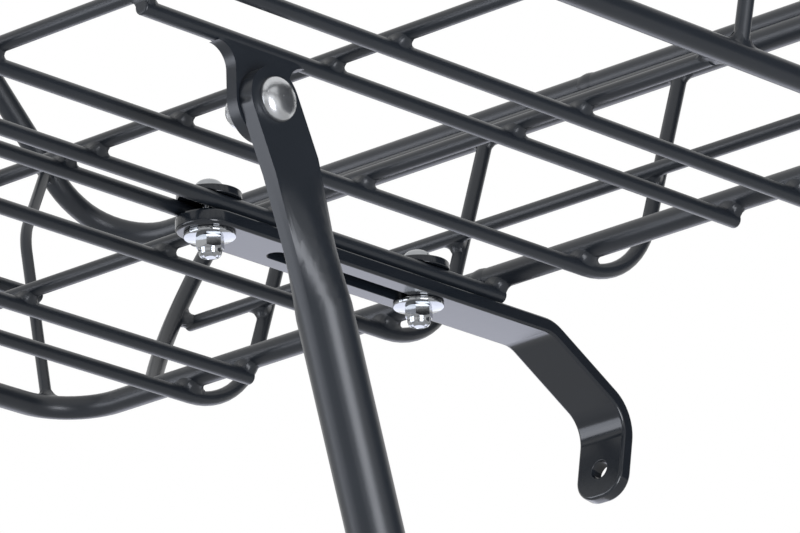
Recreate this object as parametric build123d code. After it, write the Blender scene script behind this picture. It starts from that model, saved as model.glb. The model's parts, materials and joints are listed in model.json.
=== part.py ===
from build123d import *
import os
from math import atan2, cos, radians, sin, tan

# Front luggage carrier for a bicycle: a welded wire tray with a sloping rim, two swinging
# stays to the wheel axle and a slotted strap to the fork crown.
# Millimetres. +X points to the front of the bicycle, +Y to its left, +Z up.
# The origin is the centre of the crown bolt hole at the end of the strap.

# Stock
wire_d = 5.0
tube_d = 8.0
strut_d = 6.0
corner_post_d = 4.0
weld_bite = 1.5

# Floor of the tray, between tube centre lines
base_length = 370.0
base_width = 376.0
base_corner_r = 22.0
front_cross_inset = 105.0
rear_cross_inset = 104.0
pair_gap = 8.4
inner_wire_y = 42.8
ear_wire_y = 105.0
outer_wire_y = 132.0
wire_overhang = 1.0

# Walls and rim
wall_toe = 25.0
wall_lean = 19.0
wall_bend_r = 35.0
rear_rail_height = 82.4
rear_rail_gap = 38.0
rim_stack_lean = 31.0
rim_height = 144.5
rim_width = 436.0
rim_corner_r = 23.0
rim_sweep_r = 35.0
ramp_toe_run = 29.0
ramp_toe_rise = 12.4
ramp_angle = 44.3
strut_foot_y = 150.0
strut_head_y = 166.0
strut_bow_out = 7.4
strut_bow_back = 2.7
mid_rail_height = 39.8
mid_rail_end = 14.5
side_post_back = 8.0
side_rail_height = 47.0
side_rail_end = 0.5
corner_post_inset = 11.0
corner_post_reach = 8.0
corner_post_bend_height = 74.0
corner_post_bend_out = 4.7
corner_post_bend_r = 25.0

# Ears and stays
ear_bolt_x = 32.4
ear_bolt_drop = 15.7
ear_plate_t = 4.0
ear_end_r = 11.2
ear_root_r = 7.0
stay_d = 17.2
stay_wall = 1.5
stay_flat_w = 20.5
stay_flat_t = 5.0
stay_length = 372.0
stay_tip_length = 20.0
stay_taper_length = 43.0
stay_lean_back = 24.9
stay_lean_in = 6.5
axle_hole_d = 10.0
stay_bolt_d = 6.0
stay_head_d = 14.0
stay_head_h = 4.2
stay_nut_af = 10.0
stay_nut_h = 6.0
stay_washer_d = 12.0
stay_washer_t = 1.6

# Strap to the fork crown
strap_w = 19.5
strap_t = 5.0
strap_clearance = 0.8
strap_front_margin = 11.0
strap_bend_out = 22.8
strap_knee_out = 59.7
strap_slope = 30.1
strap_end_lean = 10.0
strap_end_length = 29.0
strap_bend_r = 13.0
strap_end_r = 8.0
strap_nose_r = 9.5
crown_hole_d = 6.5
crown_hole_margin = 10.2
slot_front_margin = 27.1
slot_w = 6.5
slot_tail = 3.0

# Clamps that hold the strap to the two centre wires
rear_bolt_inset = 31.9
clamp_spacing = 96.2
clamp_bolt_d = 5.0
clamp_head_d = 9.8
clamp_head_h = 4.6
clamp_nut_af = 8.0
clamp_nut_h = 3.8
clamp_collar_h = 2.5
clamp_washer_d = 16.4
clamp_washer_t = 1.4
saddle_d = 20.6
saddle_t = 2.6
saddle_bite = 0.4

# Fits
turn_clearance = 0.08
slide_clearance = 0.3
face_gap = 0.1
stay_thread_end = 1.4
clamp_thread_end = 0.2

# Places worked out from the sizes above
wire_r = wire_d / 2
tube_r = tube_d / 2
base_z = tube_r + wire_r
half_length = base_length / 2
half_width = base_width / 2
rim_y = rim_width / 2
pair_y = (pair_gap + wire_d) / 2
rear_cross_x = -half_length + rear_cross_inset
front_cross_x = half_length - front_cross_inset
lean = tan(radians(wall_lean))
wall_foot_x = half_length + wall_toe
rear_rail_x = -(wall_foot_x + rear_rail_height * lean)
rim_stack = tube_d + face_gap
rear_rim_x = rear_rail_x - rim_stack * sin(radians(rim_stack_lean))
rear_rim_height = rear_rail_height + rim_stack * cos(radians(rim_stack_lean))
front_rim_x = wall_foot_x + rim_height * lean
rear_bolt_x = -half_length + rear_bolt_inset
front_bolt_x = rear_bolt_x + clamp_spacing
strap_bend_x = -half_length - strap_bend_out
strap_knee_x = -half_length - strap_knee_out
strap_top = -wire_r - strap_clearance
strap_mid = strap_top - strap_t / 2
strap_bottom = strap_top - strap_t
strap_knee_z = strap_mid - (strap_bend_x - strap_knee_x) * tan(radians(strap_slope))
strap_end_x = strap_knee_x + strap_end_length * sin(radians(strap_end_lean))
strap_end_z = strap_knee_z - strap_end_length * cos(radians(strap_end_lean))
crown_hole_x = strap_end_x - crown_hole_margin * sin(radians(strap_end_lean))
crown_hole_z = strap_end_z + crown_hole_margin * cos(radians(strap_end_lean))
ear_bolt_z = -wire_r - ear_bolt_drop
stay_mid_y = ear_wire_y + ear_plate_t / 2 + face_gap + stay_flat_t / 2

# The tray is drawn about its own centre and then set so that the crown hole is the origin.
to_origin = Pos(-crown_hole_x, 0, -crown_hole_z)

os.makedirs("parts", exist_ok=True)


def save(name, shape):
    """Write one node in the carrier's own frame."""
    solids = [to_origin * solid for solid in shape.solids()]
    whole = solids[0] if len(solids) == 1 else Compound(children=solids)
    export_step(whole, f"parts/{name}.step")


def straight(start, end, diameter):
    """A straight length of round stock with square-cut ends."""
    run = Vector(*end) - Vector(*start)
    return extrude(Plane(origin=start, z_dir=run) * Circle(diameter / 2), amount=run.length)


def bent(points, radii, diameter):
    """Round stock bent at each inner point of its centre line."""
    path = FilletPolyline(*points, radius=radii)
    return sweep(Plane(origin=path @ 0, z_dir=path % 0) * Circle(diameter / 2), path=path)


def bowed(start, middle, end, diameter):
    """Round stock rolled to one arc."""
    path = ThreePointArc(start, middle, end)
    return sweep(Plane(origin=path @ 0, z_dir=path % 0) * Circle(diameter / 2), path=path)


def between(start, end, set_back):
    """The two ends of a length welded between two tubes, set back from their centre lines."""
    run = (Vector(*end) - Vector(*start)).normalized()
    return tuple(Vector(*start) + run * set_back), tuple(Vector(*end) - run * set_back)


def across(shape):
    """The same piece on the right-hand side."""
    return mirror(shape, about=Plane.XZ)


# Base loop: one round bar on each side, bent at two corners and butt welded at the middle.
base_left = bent(
    [
        (-half_length, 0, base_z),
        (-half_length, half_width, base_z),
        (half_length, half_width, base_z),
        (half_length, 0, base_z),
    ],
    [base_corner_r, base_corner_r],
    tube_d,
)
save("base_loop_left", base_left)
save("base_loop_right", across(base_left))

# Rim loop: level and low at the rear, swept up at the rear corners to the higher sides.
ramp_slope = tan(radians(ramp_angle))
ramp_top_run = ramp_toe_run + (rim_height - rear_rim_height - ramp_toe_rise) / ramp_slope
ramp_toe = (rear_rim_x + ramp_toe_run, rim_y, rear_rim_height + ramp_toe_rise)
ramp_top = (rear_rim_x + ramp_top_run, rim_y, rim_height)
rim_left = bent(
    [
        (rear_rim_x, 0, rear_rim_height),
        (rear_rim_x, rim_y, rear_rim_height),
        ramp_toe,
        ramp_top,
        (front_rim_x, rim_y, rim_height),
        (front_rim_x, 0, rim_height),
    ],
    [rim_corner_r, rim_sweep_r, rim_sweep_r, rim_corner_r],
    tube_d,
)
save("rim_loop_left", rim_left)
save("rim_loop_right", across(rim_left))

# Rear rail: a straight bar welded under the rear of the rim, where the wires turn up to it.
rear_rail_end = rim_y - rear_rail_gap
rear_rail = straight(
    (rear_rail_x, -rear_rail_end, rear_rail_height),
    (rear_rail_x, rear_rail_end, rear_rail_height),
    tube_d,
)
save("rear_rail", rear_rail)


def coped(shape):
    """A length whose ends are cut to sit round the bars that it is welded to."""
    return (shape - base_left - rim_left - rear_rail).solids().sort_by(SortBy.VOLUME)[-1]


def wall_wire(y):
    """A floor wire that turns up at both ends, to the rear rail and to the front of the rim."""
    stop = tube_r * cos(radians(wall_lean))
    drift = tube_r * sin(radians(wall_lean))
    return bent(
        [
            (rear_rail_x + drift, y, rear_rail_height - stop),
            (-wall_foot_x, y, 0),
            (wall_foot_x, y, 0),
            (front_rim_x - drift, y, rim_height - stop),
        ],
        [wall_bend_r, wall_bend_r],
        wire_d,
    )


for name, y in (("inner_wall_wire", inner_wire_y), ("outer_wall_wire", outer_wire_y)):
    save(f"{name}_left", wall_wire(y))
    save(f"{name}_right", wall_wire(-y))

# Floor wires that are cut off: the centre wires just past both end tubes, the ear wires just
# past the rear tube and the front cross wire.
cut_x = half_length + wire_overhang
ear_cut_x = front_cross_x + wire_overhang
for name, y, front_x in (("ear_wire", ear_wire_y, ear_cut_x), ("centre_wire", pair_y, cut_x)):
    cut_wire = straight((-cut_x, y, 0), (front_x, y, 0), wire_d)
    save(f"{name}_left", cut_wire)
    save(f"{name}_right", across(cut_wire))

# Cross wires lie on the floor wires and butt against the sides of the base loop.
cross_y = half_width - tube_r
cross_wires = (("rear", rear_cross_x), ("middle", 0), ("front", front_cross_x))
for name, x in cross_wires:
    save(f"cross_wire_{name}", straight((x, -cross_y, wire_d), (x, cross_y, wire_d), wire_d))

# Side posts stand on the base loop just behind each cross wire and lean out to the rim.
for name, x in cross_wires:
    post_x = x - side_post_back
    foot, head = between((post_x, half_width, base_z), (post_x, rim_y, rim_height), weld_bite)
    post = coped(straight(foot, head, wire_d))
    save(f"side_post_{name}_left", post)
    save(f"side_post_{name}_right", across(post))

# Corner posts stand on the base loop and kink outwards to meet the rim near each corner.
side_lean = (rim_y - half_width) / (rim_height - base_z)
corner_post_x = half_length - corner_post_inset
bend_x = corner_post_x + corner_post_bend_out
bend_y = half_width + (corner_post_bend_height - base_z) * side_lean
rear_weld = (ramp_toe[0] + corner_post_reach, rim_y, ramp_toe[2] + corner_post_reach * ramp_slope)
front_weld = (front_rim_x - ramp_toe_run - corner_post_reach, rim_y, rim_height)
for name, side, weld in (("rear", -1, rear_weld), ("front", 1, front_weld)):
    foot = (side * corner_post_x, half_width, base_z + weld_bite)
    kink = (side * bend_x, bend_y, corner_post_bend_height)
    post = coped(bent([foot, kink, weld], [corner_post_bend_r], corner_post_d))
    save(f"corner_post_{name}_left", post)
    save(f"corner_post_{name}_right", across(post))

# Struts, bowed outwards, brace the rear rail and the front of the rim from the base loop.
rear_weld = (rear_rail_x, strut_head_y, rear_rail_height)
front_weld = (front_rim_x, strut_head_y, rim_height)
for name, side, weld in (("rear", -1, rear_weld), ("front", 1, front_weld)):
    foot, head = between((side * half_length, strut_foot_y, base_z), weld, weld_bite)
    waist = (Vector(*foot) + Vector(*head)) / 2 + Vector(side * strut_bow_back, strut_bow_out, 0)
    strut = coped(bowed(foot, tuple(waist), head, strut_d))
    save(f"strut_{name}_left", strut)
    save(f"strut_{name}_right", across(strut))

# Mid rails are welded inside the upturned wires and inside the side posts.
rail_in = wire_d * cos(radians(wall_lean))
rail_up = wire_d * sin(radians(wall_lean))
rail_half = strut_foot_y + mid_rail_end
for name, side in (("rear", -1), ("front", 1)):
    rail_x = side * (wall_foot_x + mid_rail_height * lean - rail_in)
    rail_z = mid_rail_height + rail_up
    rail = straight((rail_x, -rail_half, rail_z), (rail_x, rail_half, rail_z), wire_d)
    save(f"mid_rail_{name}", rail)

post_angle = atan2(rim_y - half_width, rim_height - base_z)
side_rail_y = half_width + (side_rail_height - base_z) * side_lean
side_y = side_rail_y - wire_d * cos(post_angle)
side_z = side_rail_height + wire_d * sin(post_angle)
side_half = corner_post_x + side_rail_end
side_rail = straight((-side_half, side_y, side_z), (side_half, side_y, side_z), wire_d)
save("side_rail_left", side_rail)
save("side_rail_right", across(side_rail))

# Ears: pressed plates welded under the ear wires, rounded about the stay bolt.
ear_shape = Pos(ear_bolt_x, ear_bolt_z) * Circle(ear_end_r)
ear_shape += Pos(ear_bolt_x, (ear_bolt_z - wire_r) / 2) * Rectangle(2 * ear_end_r, ear_bolt_drop)
for side in (-1, 1):
    corner = Pos(ear_bolt_x + side * (ear_end_r + ear_root_r / 2), -wire_r - ear_root_r / 2)
    scoop = Pos(ear_bolt_x + side * (ear_end_r + ear_root_r), -wire_r - ear_root_r)
    ear_shape += corner * Rectangle(ear_root_r, ear_root_r) - scoop * Circle(ear_root_r)
ear_shape -= Pos(ear_bolt_x, ear_bolt_z) * Circle(stay_bolt_d / 2 + turn_clearance)
ear_plane = Plane(origin=(0, ear_wire_y, 0), x_dir=(1, 0, 0), z_dir=(0, -1, 0))
ear = extrude(ear_plane * ear_shape, amount=ear_plate_t / 2, both=True)
save("ear_left", ear)
save("ear_right", across(ear))

# Stays: steel tube flattened and holed at both ends, drawn hanging straight down from its
# bolt and then leaned back. Below the flat tip it bends in towards the wheel axle.
lean_in = tan(radians(stay_lean_in))
taper_top = -stay_tip_length
tube_top = taper_top - stay_taper_length
tube_end = -stay_length + stay_tip_length + stay_taper_length
foot_top = -stay_length + stay_tip_length


def stay_plane(z):
    """A level section plane on the stay's centre line."""
    inward = max(min(taper_top - z, taper_top - foot_top), 0) * lean_in
    return Plane(origin=(0, -inward, z), x_dir=(1, 0, 0), z_dir=(0, 0, 1))


def stay_tip(z, hole_d, down):
    """A flattened end with a full round about its hole."""
    plane = Plane(origin=stay_plane(z).origin, x_dir=(1, 0, 0), z_dir=(0, -1, 0))
    outline = Circle(stay_flat_w / 2)
    outline += Pos(0, down * stay_tip_length / 2) * Rectangle(stay_flat_w, stay_tip_length)
    return extrude(plane * (outline - Circle(hole_d / 2)), amount=stay_flat_t / 2, both=True)


flat_section = Rectangle(stay_flat_w, stay_flat_t)
round_section = Circle(stay_d / 2)
stay = stay_tip(0, stay_bolt_d + 2 * turn_clearance, -1)
stay += loft([stay_plane(taper_top) * flat_section, stay_plane(tube_top) * round_section])
stay += loft([stay_plane(tube_top) * round_section, stay_plane(tube_end) * round_section])
stay += loft([stay_plane(tube_end) * round_section, stay_plane(foot_top) * flat_section])
stay += stay_tip(-stay_length, axle_hole_d, 1)
bore_section = Circle(stay_d / 2 - stay_wall)
stay -= loft([stay_plane(tube_top) * bore_section, stay_plane(tube_end) * bore_section])
stay = Pos(ear_bolt_x, stay_mid_y, ear_bolt_z) * Rot(0, stay_lean_back, 0) * stay
save("stay_left", stay)
save("stay_right", across(stay))


def hex_nut(across_flats, height, hole_d):
    """A plain nut on +Z with chamfered corners."""
    corner_r = across_flats / 3**0.5
    body = extrude(RegularPolygon(corner_r, 6), amount=height)
    cut_r = across_flats / 2
    cone = Cone(cut_r + 2 * height, cut_r, height, align=(Align.CENTER, Align.CENTER, Align.MIN))
    return (body & cone) - Cylinder(hole_d / 2, 4 * height)


def round_bolt(diameter, length, head_d, head_h, key_d):
    """A low domed head on -Z of the seat, with a hexagon socket, and its shank along +Z."""
    shank = extrude(Circle(diameter / 2), amount=length)
    shank = chamfer(shank.edges().sort_by(Axis.Z)[-1], diameter / 10)
    dome_r = (head_h**2 + head_d**2 / 4) / (2 * head_h)
    dome = Pos(0, 0, dome_r - head_h) * Sphere(dome_r)
    head = dome & Pos(0, 0, -head_h / 2) * Box(2 * head_d, 2 * head_d, head_h)
    socket = Pos(0, 0, -head_h) * extrude(RegularPolygon(key_d / 3**0.5, 6), amount=head_h * 0.6)
    return shank + (head - socket)


def washer(outer_d, hole_d, thickness):
    """A flat washer on +Z."""
    ring = Circle(outer_d / 2) - Circle(hole_d / 2)
    return extrude(ring, amount=thickness)


def both_sides(shape):
    """The left piece with its right-hand twin."""
    return Compound(children=[*shape.solids(), *across(shape).solids()])


# Stay bolts run inwards through the stay and the ear to a washer and a nut.
stay_seat_y = stay_mid_y + stay_flat_t / 2 + face_gap
inner_face_y = ear_wire_y - ear_plate_t / 2
nut_face_y = inner_face_y - stay_washer_t
stay_bolt_length = stay_seat_y - nut_face_y + stay_nut_h + stay_thread_end
inwards = Rot(90, 0, 0)
stay_bolt = round_bolt(stay_bolt_d, stay_bolt_length, stay_head_d, stay_head_h, stay_bolt_d * 0.7)
save("stay_bolts", both_sides(Pos(ear_bolt_x, stay_seat_y, ear_bolt_z) * inwards * stay_bolt))
stay_washer = washer(stay_washer_d, stay_bolt_d + 2 * turn_clearance, stay_washer_t)
save("stay_washers", both_sides(Pos(ear_bolt_x, inner_face_y, ear_bolt_z) * inwards * stay_washer))
stay_nut = hex_nut(stay_nut_af, stay_nut_h, stay_bolt_d + 2 * turn_clearance)
save("stay_nuts", both_sides(Pos(ear_bolt_x, nut_face_y, ear_bolt_z) * inwards * stay_nut))

# Strap: flat bar under the centre wires, bent down behind the tray. Its end leans to lie flat
# on the raked fork crown.
strap_front_x = front_bolt_x + strap_front_margin
strap_path = FilletPolyline(
    (strap_front_x, 0, strap_mid),
    (strap_bend_x, 0, strap_mid),
    (strap_knee_x, 0, strap_knee_z),
    (strap_end_x, 0, strap_end_z),
    radius=strap_bend_r,
)
strap_section = Plane(origin=strap_path @ 0, x_dir=(0, 1, 0), z_dir=strap_path % 0)
strap = sweep(strap_section * Rectangle(strap_w, strap_t), path=strap_path)
nose_edges = strap.edges().filter_by(Axis.Z).sort_by(Axis.X)[-2:]
strap = fillet(nose_edges, strap_nose_r)
crown_axis = Axis((0, 0, 0), (cos(radians(strap_end_lean)), 0, sin(radians(strap_end_lean))))
foot_edges = strap.edges().filter_by(crown_axis).sort_by(Axis.Z)[:2]
strap = fillet(foot_edges, strap_end_r)
slot_rear_x = rear_bolt_x - clamp_bolt_d / 2 - slot_tail
slot_front_x = front_bolt_x - slot_front_margin
slot_mid_x = (slot_front_x + slot_rear_x) / 2
slot = extrude(SlotOverall(slot_front_x - slot_rear_x, slot_w), amount=strap_t, both=True)
strap -= Pos(slot_mid_x, 0, strap_mid) * slot
strap -= Pos(front_bolt_x, 0, strap_mid) * Cylinder(clamp_bolt_d / 2 + turn_clearance, 2 * strap_t)
crown_hole = Rot(0, 90 - strap_end_lean, 0) * Cylinder(crown_hole_d / 2, 2 * strap_t)
strap -= Pos(crown_hole_x, 0, crown_hole_z) * crown_hole
save("strap", strap)

# Clamps: a round saddle grooved to sit on the two centre wires, a bolt down between them, and
# below the strap a washer and a lock nut.
saddle_top = wire_r - saddle_bite + saddle_t
saddle_low = wire_r - saddle_bite
saddle_body = Pos(0, 0, saddle_low + saddle_t / 2) * Cylinder(saddle_d / 2, saddle_t)
for side in (-1, 1):
    groove = Rot(0, 90, 0) * Cylinder(wire_r + slide_clearance, 2 * saddle_d)
    saddle_body -= Pos(0, side * pair_y, 0) * groove
saddle_body -= Cylinder(clamp_bolt_d / 2 + turn_clearance, 8 * saddle_t)


def clamp(name, x, seat_gap):
    """One clamp set at x, its washer seat_gap below the strap."""
    washer_z = strap_bottom - seat_gap
    nut_z = washer_z - clamp_washer_t
    bolt_length = saddle_top - nut_z + clamp_nut_h + clamp_collar_h + clamp_thread_end
    down = Rot(180, 0, 0)
    hole_d = clamp_bolt_d + 2 * turn_clearance
    bolt = round_bolt(clamp_bolt_d, bolt_length, clamp_head_d, clamp_head_h, clamp_bolt_d * 0.6)
    collar_r = clamp_nut_af / 2
    collar = Cone(collar_r, collar_r * 0.8, clamp_collar_h, align=(Align.CENTER, Align.CENTER, Align.MIN))
    nut = hex_nut(clamp_nut_af, clamp_nut_h, hole_d)
    nut += Pos(0, 0, clamp_nut_h) * (collar - Cylinder(hole_d / 2, 4 * clamp_collar_h))
    ring = washer(clamp_washer_d, hole_d, clamp_washer_t)
    save(f"{name}_saddle", Pos(x, 0, 0) * saddle_body)
    save(f"{name}_clamp_bolt", Pos(x, 0, saddle_top) * down * bolt)
    save(f"{name}_clamp_washer", Pos(x, 0, washer_z) * down * ring)
    save(f"{name}_clamp_nut", Pos(x, 0, nut_z) * down * nut)


clamp("front", front_bolt_x, 0)
clamp("rear", rear_bolt_x, face_gap)

print("tray centre", round(-crown_hole_x, 3), round(-crown_hole_z, 3))
print("stay bolt", round(ear_bolt_x - crown_hole_x, 3), stay_mid_y, round(ear_bolt_z - crown_hole_z, 3))
axle_x = ear_bolt_x - stay_length * sin(radians(stay_lean_back))
axle_y = stay_mid_y - (taper_top - foot_top) * lean_in
axle_z = ear_bolt_z - stay_length * cos(radians(stay_lean_back))
print("axle hole", round(axle_x - crown_hole_x, 3), round(axle_y, 3), round(axle_z - crown_hole_z, 3))
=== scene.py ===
import json
from math import cos, pi, radians, sin, tan

import bmesh
import bpy
from mathutils import Matrix, Vector


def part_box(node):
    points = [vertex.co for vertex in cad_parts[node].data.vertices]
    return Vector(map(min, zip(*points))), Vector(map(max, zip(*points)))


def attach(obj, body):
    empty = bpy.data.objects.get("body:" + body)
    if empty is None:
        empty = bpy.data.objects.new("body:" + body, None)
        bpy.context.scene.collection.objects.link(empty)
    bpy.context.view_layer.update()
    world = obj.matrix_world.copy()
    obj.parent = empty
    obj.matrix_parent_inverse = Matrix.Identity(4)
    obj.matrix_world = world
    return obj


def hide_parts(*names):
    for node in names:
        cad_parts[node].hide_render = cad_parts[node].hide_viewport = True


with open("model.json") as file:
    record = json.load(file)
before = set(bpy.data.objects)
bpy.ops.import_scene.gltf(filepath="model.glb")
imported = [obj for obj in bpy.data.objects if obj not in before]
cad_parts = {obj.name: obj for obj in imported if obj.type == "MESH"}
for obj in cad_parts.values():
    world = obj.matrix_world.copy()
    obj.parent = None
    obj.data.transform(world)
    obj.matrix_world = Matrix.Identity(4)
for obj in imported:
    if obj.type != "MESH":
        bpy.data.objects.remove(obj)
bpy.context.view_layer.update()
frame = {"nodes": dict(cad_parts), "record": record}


# Tray bars and wires: drawn mild steel, bent and welded, then powder coated black in one go.
# The cured powder is a satin skin with a fine orange peel, and it rounds every cut end.
def linear(hex_colour):
    """The linear RGBA of an sRGB hex colour."""
    channels = [int(hex_colour[i : i + 2], 16) / 255 for i in (1, 3, 5)]
    return [c / 12.92 if c <= 0.04045 else ((c + 0.055) / 1.055) ** 2.4 for c in channels] + [1.0]


def add_node(owner, kind, settings=None, inputs=None, links=None):
    """One shader node of a material or world, with its settings, socket values and incoming links."""
    node = owner.node_tree.nodes.new(kind)
    for name, value in (settings or {}).items():
        setattr(node, name, value)
    for name, value in (inputs or {}).items():
        node.inputs[name].default_value = value
    for name, source in (links or {}).items():
        owner.node_tree.links.new(source, node.inputs[name])
    return node


def new_material(name, **sockets):
    """A node material and its Principled shader, with the sockets that are the same all over."""
    material = bpy.data.materials.new(name)
    material.use_nodes = True
    material.node_tree.nodes.clear()
    shader = add_node(material, "ShaderNodeBsdfPrincipled", inputs=sockets)
    add_node(material, "ShaderNodeOutputMaterial", links={"Surface": shader.outputs["BSDF"]})
    return material, shader


MM = 0.001


def uneven(material, shader, colours, roughness, grain_mm, depth_mm, cloud_mm):
    """A finish with a grain that bumps the surface and wider clouds that shift colour and gloss."""
    place = add_node(material, "ShaderNodeTexCoord")
    grain, clouds = (
        add_node(
            material,
            "ShaderNodeTexNoise",
            inputs={"Scale": 1 / (size_mm * MM), "Detail": 2.0, "Roughness": 0.5},
            links={"Vector": place.outputs["Object"]},
        )
        for size_mm in (grain_mm, cloud_mm)
    )
    bump = add_node(
        material,
        "ShaderNodeBump",
        inputs={"Strength": 1.0, "Distance": depth_mm * MM},
        links={"Height": grain.outputs["Fac"]},
    )
    tone = add_node(
        material,
        "ShaderNodeMix",
        settings={"data_type": "RGBA"},
        inputs={"A": linear(colours[0]), "B": linear(colours[1])},
        links={"Factor": clouds.outputs["Fac"]},
    )
    gloss = add_node(
        material,
        "ShaderNodeMapRange",
        inputs={"To Min": roughness[0], "To Max": roughness[1]},
        links={"Value": clouds.outputs["Fac"]},
    )
    join = material.node_tree.links.new
    join(bump.outputs["Normal"], shader.inputs["Normal"])
    join(tone.outputs["Result"], shader.inputs["Base Color"])
    join(gloss.outputs["Result"], shader.inputs["Roughness"])


nodes = frame["nodes"]


def finish_nodes(slot, material):
    """Give every CAD piece of one material slot its finish."""
    for row in frame["record"]["subparts"]:
        if row["material_slot"] == slot:
            nodes[row["node"]].data.materials.clear()
            nodes[row["node"]].data.materials.append(material)


def add_modifiers(piece, steps):
    """Stack modifiers on a piece, each given as its kind and settings."""
    for kind, settings in steps:
        modifier = piece.modifiers.new(kind.lower(), kind)
        for setting, value in settings.items():
            setattr(modifier, setting, value)


merge_gap, flat_turn = 0.001 * MM, radians(0.5)


def ease_edges(name, width_mm, angle):
    """Round the sharp edges of a CAD piece where they turn by more than the angle."""
    rounding = {
        "width": width_mm * MM,
        "segments": 3,
        "limit_method": "ANGLE",
        "angle_limit": radians(angle),
    }
    steps = (
        ("WELD", {"merge_threshold": merge_gap}),
        ("DECIMATE", {"decimate_type": "DISSOLVE", "angle_limit": flat_turn}),
        ("BEVEL", rounding),
        ("WEIGHTED_NORMAL", {"keep_sharp": False}),
    )
    add_modifiers(nodes[name], steps)


powder_coat, powder_shader = new_material("black_powder_coat", IOR=1.5)
uneven(
    powder_coat,
    powder_shader,
    colours=("#1B2026", "#20252C"),
    roughness=(0.32, 0.38),
    grain_mm=0.8,
    depth_mm=0.01,
    cloud_mm=18.0,
)
finish_nodes("black_powder_coat", powder_coat)

sides = {"left": 1, "right": -1}
cut_bars = [f"{bar}_{side}" for bar in ("ear_wire", "centre_wire", "side_rail") for side in sides]
for bar in cut_bars + ["mid_rail_rear", "mid_rail_front", "rear_rail"]:
    ease_edges(bar, width_mm=0.7, angle=60)


# Welds: resistance and brazed joints between the steel bars, buried under the coat, so each shows
# as a smooth hollow fillet. Each is the bars' own surface near the joint, swelled until its corner
# fills and then drawn back.
def bar_near(name, centre, reach):
    """The stretch of a CAD bar inside a box about a joint, closed at its cut ends."""
    form = bmesh.new()
    form.from_mesh(nodes[name].data)
    bmesh.ops.remove_doubles(form, verts=form.verts, dist=merge_gap)
    for axis in range(3):
        for side in (-1, 1):
            outward = Vector((0, 0, 0))
            outward[axis] = side
            bmesh.ops.bisect_plane(
                form,
                geom=form.verts[:] + form.edges[:] + form.faces[:],
                plane_co=centre + outward * reach[axis],
                plane_no=outward,
                clear_outer=True,
            )
            bmesh.ops.holes_fill(form, edges=form.edges, sides=0)
    return form


def add_form(form, part):
    """Join one bmesh into another and free it."""
    mesh = bpy.data.meshes.new("part")
    part.to_mesh(mesh)
    part.free()
    form.from_mesh(mesh)
    bpy.data.meshes.remove(mesh)


sharp_turn = radians(35)


def new_piece(name, form, material, slot, body, *replaced):
    """A finished piece from a bmesh: smooth but for its sharp edges, riding on a CAD body."""
    for edge in form.edges:
        edge.smooth = edge.calc_face_angle(pi) < sharp_turn
    mesh = bpy.data.meshes.new(name)
    form.to_mesh(mesh)
    form.free()
    mesh.polygons.foreach_set("use_smooth", [True] * len(mesh.polygons))
    mesh.materials.append(material)
    piece = bpy.data.objects.new(name, mesh)
    bpy.context.scene.collection.objects.link(piece)
    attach(piece, body)
    if replaced:
        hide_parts(*replaced)
    return piece


def weld_piece(name, joints, fillet_mm, reach_mm, beads=()):
    """One piece of filleted welds, each joint a centre and the CAD bars that meet there."""
    form = bmesh.new()
    reach = Vector(reach_mm) * MM
    for centre, bars in joints:
        for bar in bars:
            add_form(form, bar_near(bar, centre, reach))
    for place, radius_mm in beads:
        spot = Matrix.Translation(place)
        bmesh.ops.create_icosphere(form, subdivisions=2, radius=radius_mm * MM, matrix=spot)
    voxel_mm, sunk_mm = 0.6, 0.1
    remesh = {"mode": "VOXEL", "voxel_size": voxel_mm * MM, "use_smooth_shade": True}
    steps = (
        ("REMESH", remesh),
        ("DISPLACE", {"strength": fillet_mm * MM, "mid_level": 0.0}),
        ("REMESH", remesh),
        ("SMOOTH", {"factor": 0.5, "iterations": 6}),
        ("DISPLACE", {"strength": -(fillet_mm + sunk_mm) * MM, "mid_level": 0.0}),
        ("SMOOTH", {"factor": 0.5, "iterations": 2}),
        ("DECIMATE", {"ratio": 0.45}),
    )
    add_modifiers(new_piece(name, form, powder_coat, "black_powder_coat", "tray"), steps)


def middle(name):
    """The centre of a CAD node's box."""
    low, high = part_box(name)
    return (low + high) / 2


tube_r, wire_r = 4 * MM, 2.5 * MM
base_low, base_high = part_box("base_loop_left")
tube_z = middle("base_loop_left").z
side_tube_y = base_high.y - tube_r
end_tubes = (base_low.x + tube_r, base_high.x - tube_r)
rim_low, rim_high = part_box("rim_loop_left")
rim_y, rim_z, rim_front_x = rim_high.y - tube_r, rim_high.z - tube_r, rim_high.x - tube_r
floor_z = middle("centre_wire_left").z
rear_rail, rear_rail_end = middle("rear_rail"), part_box("rear_rail")[1].y
crosses = {cross: middle(cross) for cross in ("cross_wire_rear", "cross_wire_middle", "cross_wire_front")}

# Each crossing has two beads of squeezed-out metal, given by their offset and radius in millimetres.
squeezed_out = (((-2.3, 1.0, 0.0), 1.2), ((-3.2, -0.8, 1.2), 0.9))
floor_joints, floor_beads = [], []
for side in sides:
    for kind in ("inner_wall_wire", "outer_wall_wire", "ear_wire", "centre_wire"):
        wire = f"{kind}_{side}"
        wire_low, wire_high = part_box(wire)
        y = middle(wire).y
        for cross, cross_middle in crosses.items():
            touch = Vector((cross_middle.x, y, floor_z + wire_r))
            floor_joints.append((touch, (wire, cross)))
            floor_beads += [(touch + Vector(offset) * MM, radius_mm) for offset, radius_mm in squeezed_out]
        for x in end_tubes:
            if wire_low.x < x < wire_high.x:
                floor_joints.append((Vector((x, y, floor_z + wire_r)), (wire, f"base_loop_{side}")))
weld_piece("floor_welds", floor_joints, 1.8, (8, 8, 8), floor_beads)

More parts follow.
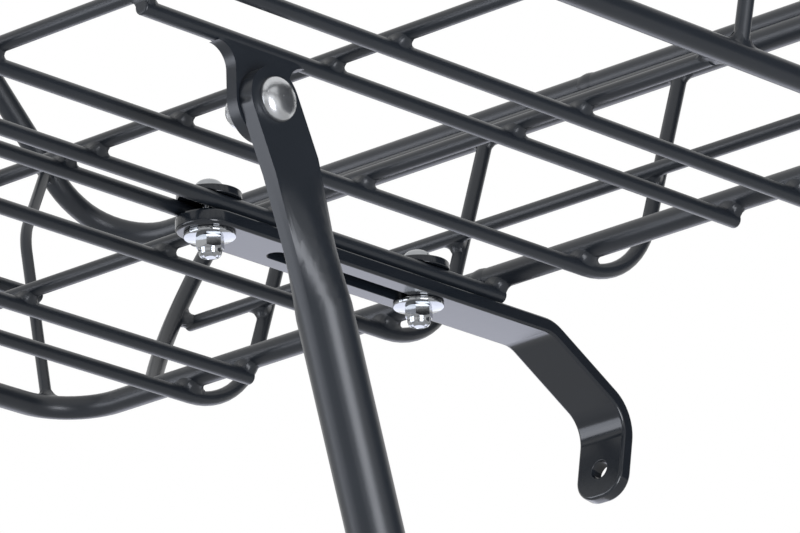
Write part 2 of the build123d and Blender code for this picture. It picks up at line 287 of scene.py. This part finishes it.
foot_joints, frame_joints, ear_joints = [], [], []
for side, sign in sides.items():
    base, rim, side_rail = (f"{bar}_{side}" for bar in ("base_loop", "rim_loop", "side_rail"))
    side_low, side_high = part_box(side_rail)
    side_middle = middle(side_rail)
    for cross, cross_middle in crosses.items():
        post = cross.replace("cross_wire", "side_post") + f"_{side}"
        x = middle(post).x
        foot = Vector(((x + cross_middle.x) / 2, sign * side_tube_y, tube_z))
        foot_joints.append((foot, (base, cross, post)))
        frame_joints.append((Vector((x, sign * rim_y, rim_z)), (post, rim)))
        frame_joints.append((Vector((x, side_middle.y, side_middle.z)), (post, side_rail)))
    for end, forward in (("rear", -1), ("front", 1)):
        at_rear = end == "rear"
        mid_rail = f"mid_rail_{end}"
        mid_middle = middle(mid_rail)
        mid_end = Vector((mid_middle.x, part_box(mid_rail)[sign > 0].y, mid_middle.z))
        side_end = Vector((side_low.x if at_rear else side_high.x, side_middle.y, side_middle.z))
        head_bar = "rear_rail" if at_rear else rim
        head_place = rear_rail if at_rear else Vector((rim_front_x, 0, rim_z))
        for wire in (f"inner_wall_wire_{side}", f"outer_wall_wire_{side}"):
            y = middle(wire).y
            frame_joints.append((Vector((head_place.x, y, head_place.z)), (wire, head_bar)))
            frame_joints.append((Vector((mid_middle.x, y, mid_middle.z)), (wire, mid_rail)))
        uprights = (("corner_post", rim, side_rail, side_end), ("strut", head_bar, mid_rail, mid_end))
        for kind, head, rail, rail_end in uprights:
            bar = f"{kind}_{end}_{side}"
            low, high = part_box(bar)
            inner_x, outer_x = (high.x, low.x) if at_rear else (low.x, high.x)
            inner_y, outer_y = (low.y, high.y) if sign > 0 else (high.y, low.y)
            aside = Vector((-forward * wire_r, sign * wire_r, 0))
            foot_joints.append((Vector((inner_x, inner_y, low.z)) - aside, (bar, base)))
            frame_joints.append((Vector((outer_x, outer_y, high.z)) + aside, (bar, head)))
            frame_joints.append((rail_end, (bar, rail)))
    frame_joints.append((Vector((rear_rail.x, sign * rear_rail_end, rear_rail.z)), ("rear_rail", rim)))
    ear = middle(f"ear_{side}")
    ear_joints.append((Vector((ear.x, ear.y, floor_z - wire_r)), (f"ear_{side}", f"ear_wire_{side}")))
weld_piece("foot_welds", foot_joints, 4.0, (17, 14, 14))
weld_piece("frame_welds", frame_joints, 2.0, (9, 9, 9))
weld_piece("ear_welds", ear_joints, 2.2, (22, 7, 5))


# Butt welds: each loop is two bent steel bars joined end to end at the middle of the tray, and the
# ground-down seam stays a little proud of the bar under the coat.
def turned(form, profile, place, closed=False, steps=48):
    """A lathe-turned part: its profile of radii and heights in millimetres spun about +Z, then placed."""
    part = bmesh.new()
    points = [part.verts.new((radius * MM, 0, height * MM)) for radius, height in profile]
    for start, end in zip(points, points[1:] + points[:1] if closed else points[1:]):
        part.edges.new((start, end))
    bmesh.ops.spin(
        part,
        geom=part.verts[:] + part.edges[:],
        cent=(0, 0, 0),
        axis=(0, 0, 1),
        angle=2 * pi,
        steps=steps,
        use_merge=True,
    )
    pole_gap = 0.0001 * MM
    bmesh.ops.remove_doubles(part, verts=part.verts, dist=pole_gap)
    bmesh.ops.dissolve_degenerate(part, edges=part.edges, dist=pole_gap)
    bmesh.ops.recalc_face_normals(part, faces=part.faces)
    bmesh.ops.transform(part, matrix=place, verts=part.verts)
    add_form(form, part)


butt_form = bmesh.new()
seam_profile = ((0, -3.4), (3.85, -3.4), (4.2, -1.7), (4.4, 0), (4.2, 1.7), (3.85, 3.4), (0, 3.4))
along_y = Matrix.Rotation(-pi / 2, 4, "X")
seams = [(x, tube_z) for x in end_tubes]
seams += [(rim_low.x + tube_r, rim_low.z + tube_r), (rim_front_x, rim_z)]
for x, z in seams:
    turned(butt_form, seam_profile, Matrix.Translation((x, 0, z)) @ along_y)
new_piece("butt_welds", butt_form, powder_coat, "black_powder_coat", "tray")

# Ears and stays: ears pressed from 4 mm plate, stays of steel tube flattened and holed at both
# ends. Both are powder coated with the tray, and the pressing leaves their edges round.
for side in sides:
    ease_edges(f"ear_{side}", width_mm=0.7, angle=40)
    ease_edges(f"stay_{side}", width_mm=0.9, angle=40)


# Stay fasteners: smooth mushroom-headed bolts, washers and lock nuts, turned or cold headed in
# steel and zinc plated to a satin metal, which mirrors the studio with soft edges. The grain of
# the plate is too fine to show, so it is drawn half a millimetre wide.
def dome(width, height, steps=16, fullness=2.7):
    """The profile of a full domed head from its crown down to its seat, squarer than an ellipse."""
    turns = [i / steps * pi / 2 for i in range(steps)]
    bow = 2 / fullness
    return [(width / 2 * sin(turn) ** bow, height * cos(turn) ** bow) for turn in turns]


def shank(head_d, bolt_d, pitch, thread_length, tip):
    """The profile of a bolt below its head: seat, plain shank, and the ridges of a thread to the tip."""
    radius, root, thread_top = bolt_d / 2, bolt_d / 2 - 0.6 * pitch, tip + thread_length
    ridges = [
        point
        for turn in range(int((thread_top - tip) / pitch))
        for point in ((root, thread_top - turn * pitch), (radius, thread_top - (turn + 0.5) * pitch))
    ]
    seat_edge, chamfer, chamfer_height = 0.2, 0.4, 0.3
    plain = [(head_d / 2 - seat_edge, 0), (radius, 0), (radius, thread_top)]
    return plain + ridges + [(root, tip + chamfer_height), (root - chamfer, tip), (0, tip)]


def ring_from(form, edges, place):
    """Draw a new ring of points out of the last one, each moved to its place."""
    drawn = bmesh.ops.extrude_edge_only(form, edges=edges)["geom"]
    for vertex in (item for item in drawn if isinstance(item, bmesh.types.BMVert)):
        vertex.co = place(vertex.co)
    drawn_edges = (item for item in drawn if isinstance(item, bmesh.types.BMEdge))
    return [edge for edge in drawn_edges if all(vertex in drawn for vertex in edge.verts)]


def lock_nut(form, flats, hex_height, collar_height, bore, place):
    """A chamfered hexagon nut with a rounded locking collar, standing on +Z."""
    part = bmesh.new()
    bmesh.ops.create_circle(part, segments=6, radius=flats / 3**0.5 * MM)
    bmesh.ops.subdivide_edges(part, edges=part.edges[:], cuts=7)
    chamfer = tan(radians(30))

    def on_hexagon(height, downwards):
        def place_point(point):
            past_flat = point.xy.length - flats / 2 * MM
            return Vector((point.x, point.y, height * MM + downwards * past_flat * chamfer))

        return place_point

    def on_circle(radius, height):
        def place_point(point):
            flat = point.xy.normalized() * radius * MM
            return Vector((flat.x, flat.y, height * MM))

        return place_point

    first = part.edges[:]
    for vertex in part.verts:
        vertex.co = on_hexagon(0, 1)(vertex.co)
    seat = ring_from(part, first, on_circle(flats * 0.47, 0))
    seat = ring_from(part, seat, on_circle(bore / 2, 0))
    edges = ring_from(part, first, on_hexagon(hex_height, -1))
    top = hex_height + collar_height
    rings = (
        (flats * 0.49, hex_height),
        (flats * 0.475, hex_height + 0.15),
        (flats * 0.465, hex_height + collar_height * 0.45),
        (flats * 0.44, hex_height + collar_height * 0.75),
        (flats * 0.4, hex_height + collar_height * 0.94),
        (flats * 0.36, top),
        (flats * 0.335, top - 0.1),
        (bore / 2, top - 0.5),
    )
    for radius, height in rings:
        edges = ring_from(part, edges, on_circle(radius, height))
    bmesh.ops.bridge_loops(part, edges=edges + seat)
    bmesh.ops.recalc_face_normals(part, faces=part.faces)
    bmesh.ops.transform(part, matrix=place, verts=part.verts)
    add_form(form, part)


def washer(form, outer, hole, thickness, place):
    """A stamped washer on +Z: rolled over on its upper rim, sharper below."""
    roll, burr, hole_edge = 0.35, 0.15, 0.2
    profile = (
        (hole / 2, 0),
        (outer / 2 - burr, 0),
        (outer / 2, burr),
        (outer / 2, thickness - roll),
        (outer / 2 - roll * 0.3, thickness - roll * 0.3),
        (outer / 2 - roll, thickness),
        (hole / 2 + hole_edge, thickness),
        (hole / 2, thickness - hole_edge),
    )
    turned(form, profile, place, closed=True, steps=64)


satin_zinc, satin_shader = new_material("satin_zinc_plate", Metallic=1.0)
uneven(
    satin_zinc,
    satin_shader,
    colours=("#B2B5B9", "#CBCCCD"),
    roughness=(0.22, 0.3),
    grain_mm=0.5,
    depth_mm=0.005,
    cloud_mm=3.0,
)
finish_nodes("zinc_plate", satin_zinc)

stay_head_d, stay_head_h, stay_bolt_d, stay_bolt_past_nut = 14.0, 4.2, 6.0, 1.4
stay_nut_af, stay_hex_h, stay_nut_h = 10.0, 4.3, 6.0
stay_washer_d, stay_washer_t = 12.0, 1.6
stay_axis = middle("stay_bolts")
head_top_y, washer_y, nut_y = (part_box(f"stay_{kind}")[1].y for kind in ("bolts", "washers", "nuts"))
stay_tip = stay_head_h - (head_top_y - nut_y) / MM - stay_nut_h - stay_bolt_past_nut
bolt_profile = dome(stay_head_d, stay_head_h)
bolt_profile += shank(stay_head_d, stay_bolt_d, pitch=1.0, thread_length=9, tip=stay_tip)
bolt_form, nut_form, ring_form = bmesh.new(), bmesh.new(), bmesh.new()
for sign in sides.values():
    outward, inward = (Matrix.Rotation(turn * sign * pi / 2, 4, "X") for turn in (-1, 1))
    head_place, washer_place, nut_place = (
        Matrix.Translation((stay_axis.x, sign * y, stay_axis.z))
        for y in (head_top_y - stay_head_h * MM, washer_y, nut_y)
    )
    turned(bolt_form, bolt_profile, head_place @ outward)
    washer(ring_form, stay_washer_d, stay_bolt_d, stay_washer_t, washer_place @ inward)
    lock_nut(nut_form, stay_nut_af, stay_hex_h, stay_nut_h - stay_hex_h, stay_bolt_d, nut_place @ inward)
new_piece("stay_bolt_pair", bolt_form, satin_zinc, "zinc_plate", "tray", "stay_bolts")
new_piece("stay_washer_pair", ring_form, satin_zinc, "zinc_plate", "tray", "stay_washers")
new_piece("stay_nut_pair", nut_form, satin_zinc, "zinc_plate", "tray", "stay_nuts")


# Strap and saddles: flat steel bar and plate, tumbled round on their edges and dipped in a glossier
# black coat than the tray, which mirrors the floor at a low angle. The slot and the bolt hole are
# punched through, so their edges stay sharper than the outer ones.
def round_sharp(form, width_mm, chosen):
    """Round the chosen ones of a part's sharp edges."""
    sharp = [edge for edge in form.edges if edge.calc_face_angle(0) > sharp_turn and chosen(edge)]
    bmesh.ops.bevel(
        form,
        geom=sharp,
        offset=width_mm * MM,
        offset_type="OFFSET",
        affect="EDGES",
        segments=3,
        profile=0.5,
        material=-1,
        clamp_overlap=True,
    )


dip_coat, dip_shader = new_material("black_dip_coat", IOR=1.5)
uneven(
    dip_coat,
    dip_shader,
    colours=("#181D23", "#1D2229"),
    roughness=(0.15, 0.2),
    grain_mm=1.6,
    depth_mm=0.004,
    cloud_mm=9.0,
)
finish_nodes("black_dip_coat", dip_coat)

strap_low, strap_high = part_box("strap")
opening_reach, end_reach = 4 * MM, 2 * MM


def in_opening(edge):
    """Whether an edge belongs to the slot or the hole."""
    centre = (edge.verts[0].co + edge.verts[1].co) / 2
    inside_ends = centre.x < strap_high.x - end_reach and centre.z > strap_low.z + end_reach
    return abs(centre.y) < opening_reach and inside_ends


strap_form = bmesh.new()
strap_form.from_mesh(nodes["strap"].data)
bmesh.ops.remove_doubles(strap_form, verts=strap_form.verts, dist=merge_gap)
bmesh.ops.dissolve_limit(
    strap_form, angle_limit=flat_turn, verts=strap_form.verts, edges=strap_form.edges
)
for punched, width_mm in ((True, 0.25), (False, 1.1)):
    round_sharp(strap_form, width_mm, lambda edge: in_opening(edge) == punched)
dipped_strap = new_piece("dipped_strap", strap_form, dip_coat, "black_dip_coat", "bracket", "strap")
add_modifiers(dipped_strap, [("WEIGHTED_NORMAL", {"keep_sharp": True})])
for end in ("front", "rear"):
    ease_edges(f"{end}_saddle", width_mm=0.7, angle=40)

# Clamp fasteners: round-headed M5 steel bolts driven from above, each with one washer and a lock nut
# below the strap. Their bright zinc plate mirrors the studio almost sharply, and its grain is drawn
# coarser than it is, as on the stay fasteners.
bright_zinc, bright_shader = new_material("bright_zinc_plate", Metallic=1.0)
uneven(
    bright_zinc,
    bright_shader,
    colours=("#8F9296", "#A8AAAC"),
    roughness=(0.06, 0.12),
    grain_mm=0.5,
    depth_mm=0.003,
    cloud_mm=3.0,
)
clamp_d, clamp_head_d, clamp_head_h, clamp_nut_af = 5.0, 9.8, 4.6, 8.0
clamp_hex_h, clamp_collar_h, clamp_washer_d, clamp_washer_t = 3.8, 2.5, 16.4, 1.4
driver_socket = ((0, 2.2), (1.55, 2.0), (1.6, 0.35), (1.9, 0.05))
socket_rim = driver_socket[-1][0]
head_profile = [(radius, clamp_head_h - depth) for radius, depth in driver_socket]
head_profile += [point for point in dome(clamp_head_d, clamp_head_h) if point[0] > socket_rim]
downward = Matrix.Rotation(pi, 4, "X")
for end, body in (("front", "bracket"), ("rear", "rear_clamp")):
    bolt, nut, ring = (f"{end}_clamp_{kind}" for kind in ("bolt", "nut", "washer"))
    axis = middle(bolt)
    seat_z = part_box(f"{end}_saddle")[1].z
    seat_place, ring_place, nut_place = (
        Matrix.Translation((axis.x, axis.y, z)) for z in (seat_z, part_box(ring)[1].z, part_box(nut)[1].z)
    )
    screw_form, ring_form, nut_form = bmesh.new(), bmesh.new(), bmesh.new()
    clamp_tip = (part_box(bolt)[0].z - seat_z) / MM
    screw_profile = head_profile + shank(clamp_head_d, clamp_d, pitch=0.8, thread_length=8, tip=clamp_tip)
    turned(screw_form, screw_profile, seat_place)
    new_piece(f"{end}_clamp_screw", screw_form, bright_zinc, "zinc_plate", body, bolt)
    washer(ring_form, clamp_washer_d, clamp_d, clamp_washer_t, ring_place @ downward)
    new_piece(f"{end}_clamp_ring", ring_form, bright_zinc, "zinc_plate", body, ring)
    lock_nut(nut_form, clamp_nut_af, clamp_hex_h, clamp_collar_h, clamp_d, nut_place @ downward)
    new_piece(f"{end}_clamp_lock_nut", nut_form, bright_zinc, "zinc_plate", body, nut)


# Studio: a painted floor well below the carrier, clear from underneath, and a white surround. Three
# softboxes light it, a key on the camera's right, a fill on its left and a low one behind, and a
# grey cloth flag past the left rear corner keeps the flat black faces deep.
def seen_directly(owner):
    """1 for camera, glossy and transmission rays, and 0 for the rays that light the scene."""
    path = add_node(owner, "ShaderNodeLightPath")
    seen = path.outputs["Is Camera Ray"]
    for ray in ("Is Glossy Ray", "Is Transmission Ray"):
        either = add_node(
            owner,
            "ShaderNodeMath",
            settings={"operation": "MAXIMUM"},
            links={0: seen, 1: path.outputs[ray]},
        )
        seen = either.outputs["Value"]
    return seen


def stage_sheet(name, half_width, place, material):
    """A flat square sheet of the studio, which is no part of the carrier."""
    form = bmesh.new()
    bmesh.ops.create_grid(form, x_segments=1, y_segments=1, size=half_width, matrix=place)
    mesh = bpy.data.meshes.new(name)
    form.to_mesh(mesh)
    form.free()
    mesh.materials.append(material)
    sheet = bpy.data.objects.new(name, mesh)
    bpy.context.scene.collection.objects.link(sheet)
    return sheet


white = linear("#FFFFFF")
floor_paint, floor_shader = new_material(
    "pale_floor", **{"Roughness": 0.7, "Base Color": linear("#A6A6A6"), "Emission Color": white}
)
glow = add_node(
    floor_paint,
    "ShaderNodeMapRange",
    inputs={"To Max": 0.45},
    links={"Value": seen_directly(floor_paint)},
)
floor_paint.node_tree.links.new(glow.outputs["Result"], floor_shader.inputs["Emission Strength"])
below = add_node(floor_paint, "ShaderNodeNewGeometry").outputs["Backfacing"]
clear = add_node(floor_paint, "ShaderNodeBsdfTransparent").outputs["BSDF"]
one_sided = add_node(
    floor_paint, "ShaderNodeMixShader", links={0: below, 1: floor_shader.outputs["BSDF"], 2: clear}
)
floor_output = floor_paint.node_tree.nodes["Material Output"]
floor_paint.node_tree.links.new(one_sided.outputs["Shader"], floor_output.inputs["Surface"])
stage_sheet("studio_floor", 8.0, Matrix.Translation((0, 0, -1.6)), floor_paint)

world = bpy.data.worlds.new("studio")
world.use_nodes = True
background = world.node_tree.nodes["Background"]
background.inputs["Color"].default_value = white
level = add_node(
    world,
    "ShaderNodeMapRange",
    inputs={"To Min": 0.3, "To Max": 1.0},
    links={"Value": seen_directly(world)},
)
world.node_tree.links.new(level.outputs["Result"], background.inputs["Strength"])
bpy.context.scene.world = world

subject = Vector((0.15, 0, 0))


def facing(direction, distance, front):
    """The place at a distance from the carrier in one direction, with the front axis turned to it."""
    place = subject + Vector(direction) * distance
    turn = (subject - place).to_track_quat(front, "Y")
    return Matrix.Translation(place) @ turn.to_matrix().to_4x4()


def softbox(name, place, width, height, radiance, tint):
    """A rectangular lamp of one radiance, unseen by the camera."""
    lamp = bpy.data.lights.new(name, "AREA")
    lamp.shape = "RECTANGLE"
    lamp.size, lamp.size_y = width, height
    lamp.energy = radiance * pi * width * height
    lamp.color = linear(tint)[:3]
    box = bpy.data.objects.new(name, lamp)
    box.matrix_world = place
    box.visible_camera = False
    bpy.context.scene.collection.objects.link(box)


softbox("key", facing((0.345, 0.939, -0.33), 2.2, "-Z"), 1.2, 1.3, radiance=8.0, tint="#F4F7FF")
softbox("fill", facing((0.84, -0.54, -0.1), 2.0, "-Z"), 1.7, 1.2, radiance=3.5, tint="#EEF3FF")
softbox("low_back", facing((-0.70, -0.63, -0.33), 1.7, "-Z"), 1.8, 0.8, radiance=1.6, tint="#E6EAFF")

flag_cloth, _ = new_material("flag_cloth", **{"Roughness": 0.9, "Base Color": linear("#707173")})
flag = stage_sheet("studio_flag", 0.8, facing((-0.72, 0.63, 0.30), 1.8, "Z"), flag_cloth)
flag.visible_camera = False

# Camera: below the carrier and close to its left front, looking up and back through a long lens.
# It stands where the straight wires of the photograph put it.
camera_place = Vector((1.744235, 1.4757, -0.731561))
azimuth, elevation, roll = radians(41.85), radians(19.41), radians(1.72)
focal_pixels, image_width, sensor_width = 7353, 800, 36.0
forward = Vector((-cos(azimuth) * cos(elevation), -sin(azimuth) * cos(elevation), sin(elevation)))
level_right = Vector((-sin(azimuth), cos(azimuth), 0))
down = forward.cross(level_right)
right = level_right * cos(roll) + down * sin(roll)
up = -forward.cross(right)
camera_data = bpy.data.cameras.new("photo_camera")
camera_data.sensor_width = sensor_width
camera_data.lens = sensor_width * focal_pixels / image_width
camera = bpy.data.objects.new("photo_camera", camera_data)
camera_turn = Matrix((right, up, -forward)).transposed()
camera.matrix_world = Matrix.Translation(camera_place) @ camera_turn.to_4x4()
bpy.context.scene.collection.objects.link(camera)
bpy.context.scene.camera = camera
bpy.context.scene.view_settings.view_transform = "Standard"
